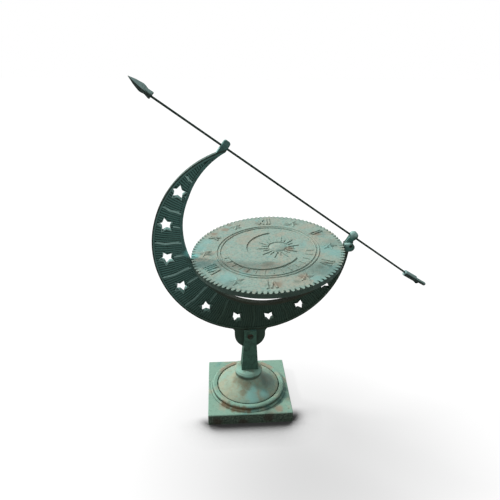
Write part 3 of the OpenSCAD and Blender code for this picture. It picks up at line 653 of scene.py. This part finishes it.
# Crescent's ribs and ridges
# Fine ribs run outwards between the rims and stop at each star's border. A bent ridge stands
# between each two stars, and a short one inside each star. All are one with the casting.
ribs_per_star = 15
ribs_past_stars = 1.2
rib_w = 1.7 * mm
rib_h = 0.8 * mm
rib_round = 0.5 * mm
rib_into_rim = 0.2 * mm
shortest_line = 3 * mm
shortest_rib = 2 * mm
ridge_w = 1.8 * mm
ridge_bend = 2 * mm
ridge_foot = 137.5 * mm
ridges_past_stars = 4
crest_w = 3.0 * mm
crest_h = 1.3 * mm
crest_round = 0.7 * mm
crest_clear = 2 * mm
crest_bend_inside = 1 * mm
crest_shifts = (0.7 * mm, 2.6 * mm, 0.9 * mm)
short_crest_clear = (1.5 * mm, 2.5 * mm)
shortest_crest = 5 * mm


def raise_outline(bm, points, height, round_off, segments=2):
    """Casts an outline up from a face, with its top edges rounded."""
    base = bm.faces.new([bm.verts.new((x, y, -sunk)) for x, y in points])
    lifted = bmesh.ops.extrude_face_region(bm, geom=[base])["geom"]
    top = [v for v in lifted if isinstance(v, bmesh.types.BMVert)]
    bmesh.ops.translate(bm, verts=top, vec=(0, 0, height + sunk))
    rim = [e for e in lifted if isinstance(e, bmesh.types.BMEdge)]
    bmesh.ops.bevel(bm, geom=rim, offset=round_off, segments=segments, affect="EDGES", profile=0.5,
                    material=-1, clamp_overlap=True)


def stroke_outline(way, stops, shifts, width):
    """Both edges of a stroke that runs outwards through stops, each shifted to one side."""
    side = Vector((-way.y, way.x))
    middle = [star_centre + along * way + shift * side for along, shift in zip(stops, shifts)]
    left = [point + width / 2 * side for point in middle]
    right = [point - width / 2 * side for point in reversed(middle)]
    return left + right


def rib_outline(way, inner, outer):
    """Both edges of a rib that is bent as the ridges are, from the mouth's rim outwards."""
    stops = [inner, outer]
    if inner < star_circle_r < outer:
        stops.insert(1, star_circle_r)
    beyond = ridge_foot - star_circle_r
    swings = [min(along / star_circle_r, (ridge_foot - along) / beyond) for along in stops]
    return stroke_outline(way, stops, [ridge_bend * swing for swing in swings], rib_w)


def star_corners(tip, waist, turn=0.0):
    """Ten corners of a five-pointed star, from its first tip round."""
    corners = []
    for i in range(10):
        radius = tip if i % 2 == 0 else waist
        angle = turn + arm_step * i
        corners.append(radius * Vector((cos(angle), sin(angle))))
    return corners


def star_span(aside):
    """Nearest and furthest place of a star and its border on a line that passes aside."""
    border = star_border / sin(arm_step)
    corners = star_corners(star_tip_r + border, star_waist_r + border / 2)
    crossings = []
    for first, second in zip(corners, corners[1:] + corners[:1]):
        if (first.y - aside) * (second.y - aside) < 0:
            share = (aside - first.y) / (second.y - first.y)
            crossings.append(first.x + share * (second.x - first.x))
    return (min(crossings), max(crossings)) if crossings else None


def from_circle(start, way, centre, radius):
    """How far along a line it leaves a circle that it starts in."""
    back = (start - centre).dot(way)
    return sqrt(back ** 2 - (start - centre).length_squared + radius ** 2) - back


def field_line(turn):
    """Direction of a line that lies turn star pitches from the middle star's, and how far out
    it leaves the mouth's rim and meets the outer rim."""
    angle = horns_at + pi + turn * star_pitch
    way = Vector((cos(angle), sin(angle)))
    inner = max(from_circle(star_centre, way, *circle) for circle in mouth_circles)
    outer = from_circle(star_centre, way, Vector((0, 0)), field_r)
    return way, inner, outer


def cast_ribs(bm):
    """Fine ribs over the whole field, left out under the ridges and round the stars."""
    last = int(ribs_per_star * (star_count / 2 + ribs_past_stars))
    for number in range(-last, last + 1):
        turn = number / ribs_per_star + 0.5 / ribs_per_star
        from_ridge = abs(turn - floor(turn) - 0.5) * star_pitch * star_circle_r
        way, inner, outer = field_line(turn)
        inner, outer = inner - rib_into_rim, outer + rib_into_rim
        if from_ridge < ridge_w / 2 + rib_w / 2 or outer - inner < shortest_line:
            continue
        nearest = round(turn)
        has_star = abs(nearest) <= (star_count - 1) / 2
        gap = star_span((turn - nearest) * star_pitch * star_circle_r + ridge_bend) if has_star else None
        stretches = [(inner, outer)]
        if gap:
            stretches = [(inner, star_circle_r + gap[0]), (star_circle_r + gap[1], outer)]
        for near, far in stretches:
            if far - near > shortest_rib:
                raise_outline(bm, rib_outline(way, near, far), rib_h, rib_round, segments=1)


def cast_ridges(bm):
    """Rounded crests on the bent ridges between the stars and on the short ones inside them."""
    last = star_count + ridges_past_stars
    for half in range(-last, last + 1):
        way, inner, outer = field_line(half / 2)
        on_star = half % 2 == (star_count - 1) % 2
        if on_star:
            below_star = star_circle_r - star_tip_r
            stops = [inner + short_crest_clear[0], below_star - short_crest_clear[1]]
            shifts = (0, 0)
        else:
            stops = [inner + crest_clear, star_circle_r - crest_bend_inside, outer - crest_clear]
            shifts = crest_shifts
        if stops[0] < stops[1] < outer and stops[-1] - stops[0] > shortest_crest:
            raise_outline(bm, stroke_outline(way, stops, shifts, crest_w), crest_h, crest_round)


def trim_field(bm):
    """Cuts the field off before the two horn ends, where the casting is plain."""
    horns = Vector((cos(horns_at), sin(horns_at), 0))
    bmesh.ops.bisect_plane(
        bm, geom=bm.verts[:] + bm.edges[:] + bm.faces[:], plane_co=field_end * horns, plane_no=horns,
        clear_outer=True,
    )
    bmesh.ops.holes_fill(bm, edges=[e for e in bm.edges if e.is_boundary], sides=0)


for side_name, out in (("front", -1), ("back", 1)):
    bm = bmesh.new()
    cast_ribs(bm)
    cast_ridges(bm)
    trim_field(bm)
    # Stands the flat drawing upright, on the front or the back of the web
    stand = Matrix(((1, 0, 0, 0), (0, 0, out, out * web_t / 2), (0, 1, 0, 0), (0, 0, 0, 1)))
    bmesh.ops.transform(bm, matrix=to_crescent @ stand, verts=bm.verts[:])
    bmesh.ops.recalc_face_normals(bm, faces=bm.faces[:])
    ribs = link_mesh("crescent_ribs_" + side_name, bm, crescent_green)
    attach(ribs, "crescent")


# Clamp screw
# Slotted brass screw in the front of the bearing block, which clamps the dial's right pin.
# It is turned, like the other screws, and black with age.
dark_brass = dull_metal("dark_brass", srgb(60, 66, 54), srgb(38, 44, 38), 0.6)
finish_node("clamp_screw", dark_brass)


# Dial plate
# Heavy round casting with a notched edge and two raised rings. Pale chalky verdigris with
# turquoise and beige clouds. Its relief is a ring of stars and hour figures round a moon,
# a sun and the hour lines, all low and softened by the foundry.
face_above_pins = 3 * mm
dial_tilt = radians(5.2)
notch_count = 96
notch_shade_band = (92.0 * mm, 95.6 * mm)
notch_shade_soft = 0.8 * mm
below_face = (-0.7 * mm, -0.3 * mm)
grain_sizes = (3.4 * mm, 2.8 * mm)
pin_line = Vector(joints["dial_tilt"]["axis"]).normalized()
square_to_pins = pin_line.cross(Vector((0, 1, 0)))
dial_up = cos(dial_tilt) * square_to_pins - sin(dial_tilt) * Vector((0, 1, 0))
dial_back = dial_up.cross(pin_line)
to_dial = (
    Matrix.Translation(Vector(joints["dial_tilt"]["pos_m"]) + face_above_pins * dial_up)
    @ Matrix((pin_line, dial_back, dial_up)).transposed().to_4x4()
)

# Patches on the face: a colour, its strength, and x, y and radius of each in millimetres
dial_patches = (
    (srgb(128, 176, 170), 0.7, (
        (-88, 22, 15), (-76, 36, 10), (-56, -58, 17), (-34, -50, 10), (-74, -30, 12),
        (74, -12, 14), (70, -64, 18), (48, -76, 12), (-86, -20, 12), (82, -24, 12),
    )),
    (srgb(112, 138, 130), 0.5, (
        (56, -56, 22), (84, 0, 14), (76, 30, 12), (-52, -70, 10), (-84, -22, 14),
    )),
    (srgb(120, 190, 184), 0.9, ((-94, 2, 9),)),
    (srgb(168, 164, 148), 0.45, (
        (0, -76, 16), (-70, 56, 14), (-30, 80, 12), (64, 56, 12), (62, 8, 10),
        (-20, 34, 20), (-60, 70, 12), (20, 84, 12),
    )),
    (srgb(138, 116, 96), 0.6, (
        (32, -69, 7), (-31, -47, 7), (28, -4, 7), (-49, 66, 6), (72, 29, 6),
        (-66, 56, 6), (0, -80, 7), (-44, 80, 5),
    )),
    (srgb(92, 108, 98), 0.5, (
        (23, -77, 5), (-73, 2, 6), (64, -45, 5), (56, -52, 5), (-11, -80, 4),
        (63, 31, 5), (-64, 42, 6), (-4, 76, 5), (36, 66, 5), (-4, -36, 10),
    )),
)


def paint_dial(material):
    """Lays on the dial's tinted patches, and paints shade into the notches, onto the face beside them and
    onto the sides below the face.
    """
    tree = material.node_tree
    for colour, strength, patches in dial_patches:
        spots = [(to_dial @ Vector((x * mm, y * mm, 0)), radius * mm) for x, y, radius in patches]
        paint_spots(material, colour, strength, spots, ragged=0.9)

    from_face = moved(tree, add_node(tree, "TexCoord").outputs["Object"], -to_dial.translation)
    along = vector_value(tree, "DOT_PRODUCT", from_face, pin_line)
    across = vector_value(tree, "DOT_PRODUCT", from_face, dial_back)
    angle = combine(tree, "ARCTAN2", across, along)
    wave = combine(tree, "COSINE", product(tree, angle, notch_count), 0)
    reach = vector_value(tree, "LENGTH", from_face)
    # Painted shade in the notches and on the face beside them
    near_rim = between(tree, reach, *notch_shade_band, soft=notch_shade_soft, share=0.8)
    paint_over(material, product(tree, ramp(tree, wave, 0.0, 0.7), near_rim), srgb(78, 104, 94))
    # Painted shade, with the dark patina, on the sides and notch floors below the face
    height = vector_value(tree, "DOT_PRODUCT", from_face, dial_up)
    paint_over(material, ramp(tree, height, *below_face, to_low=0.9, to_high=0), srgb(46, 68, 60))


dial_green = weathered_brass(
    "dial_verdigris", pale=srgb(148, 174, 162), beige=srgb(164, 168, 152), blue=srgb(128, 172, 166),
    copper=srgb(156, 144, 124), dark=srgb(124, 140, 128), worn_and_highlight=srgb(168, 188, 172),
    grime_and_shade=srgb(104, 118, 106), shares=(0.6, 0.35, 0.1), facing=(0.0, 0.6), gloss=0.2,
    corners=0.6, edges=0.5, grain=0.1, sand=(2.4 * mm, 0.4 * mm),
)
mottle(dial_green, srgb(166, 160, 146), grain_sizes[0], 0.45, 0.4)
mottle(dial_green, srgb(106, 142, 136), grain_sizes[1], 0.4, 0.5)
paint_dial(dial_green)
finish_node("dial_plate", dial_green)


# Floor of the dial's notches
# The notches are cast only part of the way down, so brass closes them a little below the face,
# painted dark as shade. It is one with the dial's casting.
notch_floor = 1.0 * mm
notch_floor_r = (93.2 * mm, 96.4 * mm)
notch_floor_t = 2.0 * mm


def cast_on_dial(name, bm):
    """Finishes a piece of the dial's relief and lays it in its place."""
    bmesh.ops.recalc_face_normals(bm, faces=bm.faces[:])
    bmesh.ops.transform(bm, matrix=to_dial, verts=bm.verts[:])
    piece = link_mesh(name, bm, dial_green)
    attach(piece, "dial")


# A flat bar's outline, spun round the dial's middle
bm = bmesh.new()
bmesh.ops.create_grid(bm, x_segments=1, y_segments=1, size=0.5)
bmesh.ops.delete(bm, geom=bm.faces[:], context="FACES_ONLY")
bmesh.ops.scale(bm, vec=(notch_floor_r[1] - notch_floor_r[0], notch_floor_t, 1), verts=bm.verts[:])
bmesh.ops.rotate(bm, matrix=Matrix.Rotation(pi / 2, 3, "X"), verts=bm.verts[:])
middle_r = (notch_floor_r[0] + notch_floor_r[1]) / 2
bmesh.ops.translate(bm, vec=(middle_r, 0, -notch_floor - notch_floor_t / 2), verts=bm.verts[:])
bmesh.ops.spin(bm, geom=bm.verts[:] + bm.edges[:], axis=(0, 0, 1), angle=2 * pi,
               steps=2 * notch_count, use_merge=True)
cast_on_dial("notch_floor", bm)


# Hour figures on the dial
# Low Roman figures, standing on the outer ring with their feet towards the middle, one
# between each two stars.
figure_r = 79 * mm
figure_h = 15 * mm
figure_step = 30
first_figure = 86
figure_rise = 1.2 * mm
figure_round = 0.8 * mm
stroke_w = 2.7 * mm
serif_w = 0.6 * stroke_w
letter_gap = 0.32
letter_width = 0.8
# Half width and strokes of each letter, in shares of its height
letter_strokes = {
    "I": (0.0, [((0, -0.5), (0, 0.5)), ((-0.12, -0.5), (0.12, -0.5)), ((-0.12, 0.5), (0.12, 0.5))]),
    "V": (0.3, [((-0.28, 0.5), (0, -0.5)), ((0.28, 0.5), (0, -0.5))]),
    "X": (0.3, [((-0.28, 0.5), (0.28, -0.5)), ((0.28, 0.5), (-0.28, -0.5))]),
}
figures = ["XII", "II", "IV", "VI", "VIII", "X"]


def bar(start, end, width):
    """Four corners of a straight stroke."""
    start, end = Vector(start), Vector(end)
    along = (end - start).normalized()
    aside = width / 2 * Vector((-along.y, along.x))
    return [start + aside, start - aside, end - aside, end + aside]


bm = bmesh.new()
for place, figure in enumerate(figures):
    angle = radians(first_figure - 2 * figure_step * place)
    outward = Vector((cos(angle), sin(angle)))
    sideways = Vector((sin(angle), -cos(angle)))
    widths = [2 * letter_strokes[letter][0] + letter_gap for letter in figure]
    left = -sum(widths) / 2
    for letter, width in zip(figure, widths):
        centre = left + width / 2
        left += width
        for start, end in letter_strokes[letter][1]:
            ends = [
                figure_r * outward + figure_h * (y * outward + (centre + x) * letter_width * sideways)
                for x, y in (start, end)
            ]
            is_serif = start[1] == end[1]
            outline = bar(*ends, serif_w if is_serif else stroke_w)
            raise_outline(bm, outline, figure_rise, figure_round, segments=3)
cast_on_dial("hour_figures", bm)


# Stars on the dial
# Five-pointed stars with creased arms, cast with the dial, one between each two figures.
small_star_r = 9.6 * mm
small_star_waist = 4.0 * mm
small_star_edge = 0.35 * mm
small_star_h = 1.8 * mm

bm = bmesh.new()
for place in range(len(figures)):
    angle = radians(first_figure - figure_step - 2 * figure_step * place)
    centre = figure_r * Vector((cos(angle), sin(angle), 0))
    corners = star_corners(small_star_r, small_star_waist, angle)
    ring = [bm.verts.new(centre + corner.to_3d()) for corner in corners]
    lifted = bmesh.ops.extrude_face_region(bm, geom=[bm.faces.new(ring)])["geom"]
    top = [v for v in lifted if isinstance(v, bmesh.types.BMVert)]
    bmesh.ops.translate(bm, verts=ring, vec=(0, 0, -sunk))
    bmesh.ops.translate(bm, verts=top, vec=(0, 0, small_star_edge))
    cap = [f for f in lifted if isinstance(f, bmesh.types.BMFace)]
    crown = bmesh.ops.poke(bm, faces=cap)["verts"]
    bmesh.ops.translate(bm, verts=crown, vec=(0, 0, small_star_h))
cast_on_dial("dial_stars", bm)


# Moon, sun and hour lines on the dial
# A crescent moon holds a domed sun with long and short rays, and hour lines fan out below
# them to the inner ring. All are cast with the dial.
moon_at = Vector((-5, -1)) * mm
moon_r = 46 * mm
bite_at = Vector((12, 5)) * mm
bite_r = 38 * mm
moon_h = 1.4 * mm
moon_round = 1.3 * mm
moon_steps = 64
sun_at = Vector((14, 4)) * mm
sun_r = 11 * mm
sun_dome = 2.4 * mm
sun_segments = (48, 16)
ray_count = 20
ray_foot = 12.6 * mm
ray_lengths = (27 * mm, 21 * mm)
ray_half_widths = (2.1 * mm, 1.5 * mm)
ray_tip = 0.3 * mm
ray_h = 1.0 * mm
ray_round = 0.6 * mm
line_count = 15
line_from = 49 * mm
line_to = 57.5 * mm
line_w = 1.2 * mm
line_h = 0.7 * mm
line_round = 0.25 * mm
first_line = -168
fan = 156


def arc(centre, radius, start, end, count):
    """Points on an arc from one angle to another."""
    angles = [start + (end - start) * i / count for i in range(count + 1)]
    return [centre + radius * Vector((cos(angle), sin(angle))) for angle in angles]


apart = bite_at - moon_at
chord_at = (apart.length_squared + moon_r ** 2 - bite_r ** 2) / (2 * apart.length)
half_chord = sqrt(moon_r ** 2 - chord_at ** 2)
axis_angle = atan2(apart.y, apart.x)
outer_half = atan2(half_chord, chord_at)
inner_half = atan2(half_chord, chord_at - apart.length)
back_arc = arc(moon_at, moon_r, axis_angle + outer_half, axis_angle + 2 * pi - outer_half, moon_steps)
front_arc = arc(bite_at, bite_r, axis_angle + 2 * pi - inner_half, axis_angle + inner_half, moon_steps)
bm = bmesh.new()
raise_outline(bm, back_arc[:-1] + front_arc[:-1], moon_h, moon_round, segments=4)
cast_on_dial("dial_moon", bm)

bm = bmesh.new()
disc = bmesh.ops.create_uvsphere(
    bm, u_segments=sun_segments[0], v_segments=sun_segments[1], radius=sun_r,
)["verts"]
bmesh.ops.scale(bm, vec=(1, 1, sun_dome / sun_r), verts=disc)
bmesh.ops.translate(bm, vec=(sun_at.x, sun_at.y, 0), verts=disc)
bmesh.ops.bisect_plane(bm, geom=bm.verts[:] + bm.edges[:] + bm.faces[:], plane_co=(0, 0, -sunk),
                       plane_no=(0, 0, -1), clear_outer=True)
bmesh.ops.holes_fill(bm, edges=[e for e in bm.edges if e.is_boundary], sides=0)
for number in range(ray_count):
    angle = 2 * pi * number / ray_count
    way = Vector((cos(angle), sin(angle)))
    aside = Vector((-way.y, way.x))
    foot = sun_at + ray_foot * way
    tip = sun_at + ray_lengths[number % 2] * way
    half = ray_half_widths[number % 2]
    outline = [foot + half * aside, foot - half * aside, tip - ray_tip * aside, tip + ray_tip * aside]
    raise_outline(bm, outline, ray_h, ray_round)
cast_on_dial("dial_sun", bm)

bm = bmesh.new()
for number in range(line_count):
    angle = radians(first_line + fan * number / (line_count - 1))
    way = Vector((cos(angle), sin(angle)))
    raise_outline(bm, bar(line_from * way, line_to * way, line_w), line_h, line_round)
cast_on_dial("hour_lines", bm)


# Dial's pins
# Two short brass pins that carry the dial in the crescent, bright with verdigris where they
# show beside its edge.
pin_green = weathered_brass(
    "pin_verdigris", pale=srgb(142, 196, 188), beige=srgb(150, 186, 172), blue=srgb(120, 190, 186),
    copper=srgb(150, 140, 116), dark=srgb(104, 156, 148), worn_and_highlight=srgb(170, 206, 196), grime_and_shade=srgb(64, 104, 98),
    facing=(-0.4, 0.5), gloss=0.2,
)
finish_node("trunnion_pins", pin_green)


# Arrow
# The gnomon: a straight drawn rod, dark with age, that carries a cast four-sided head and a
# turned tail, both with verdigris. On all three the upper sides are painted paler as lit and the
# lower sides darker as shaded.
arrow_green = weathered_brass(
    "arrow_patina", pale=srgb(158, 188, 184), beige=srgb(146, 172, 160), blue=srgb(138, 180, 178),
    copper=srgb(96, 92, 76), dark=srgb(34, 44, 40), worn_and_highlight=srgb(120, 148, 140), grime_and_shade=srgb(28, 34, 32),
    shares=(0.5, 0.4, 0.1), facing=(0.1, 0.5), gloss=0.12, edges=0.3, grain=0.1,
)
rod_green = weathered_brass(
    "rod_patina", pale=srgb(72, 96, 86), beige=srgb(70, 88, 78), blue=srgb(66, 100, 94),
    copper=srgb(70, 66, 52), dark=srgb(36, 48, 42), worn_and_highlight=srgb(84, 108, 98), grime_and_shade=srgb(30, 36, 32),
    facing=(0.2, 0.9), gloss=0.15, edges=0.2, grain=0.1,
)
finish_node("gnomon_rod", rod_green)
for fitting in ("arrow_head", "arrow_tail"):
    finish_node(fitting, arrow_green)
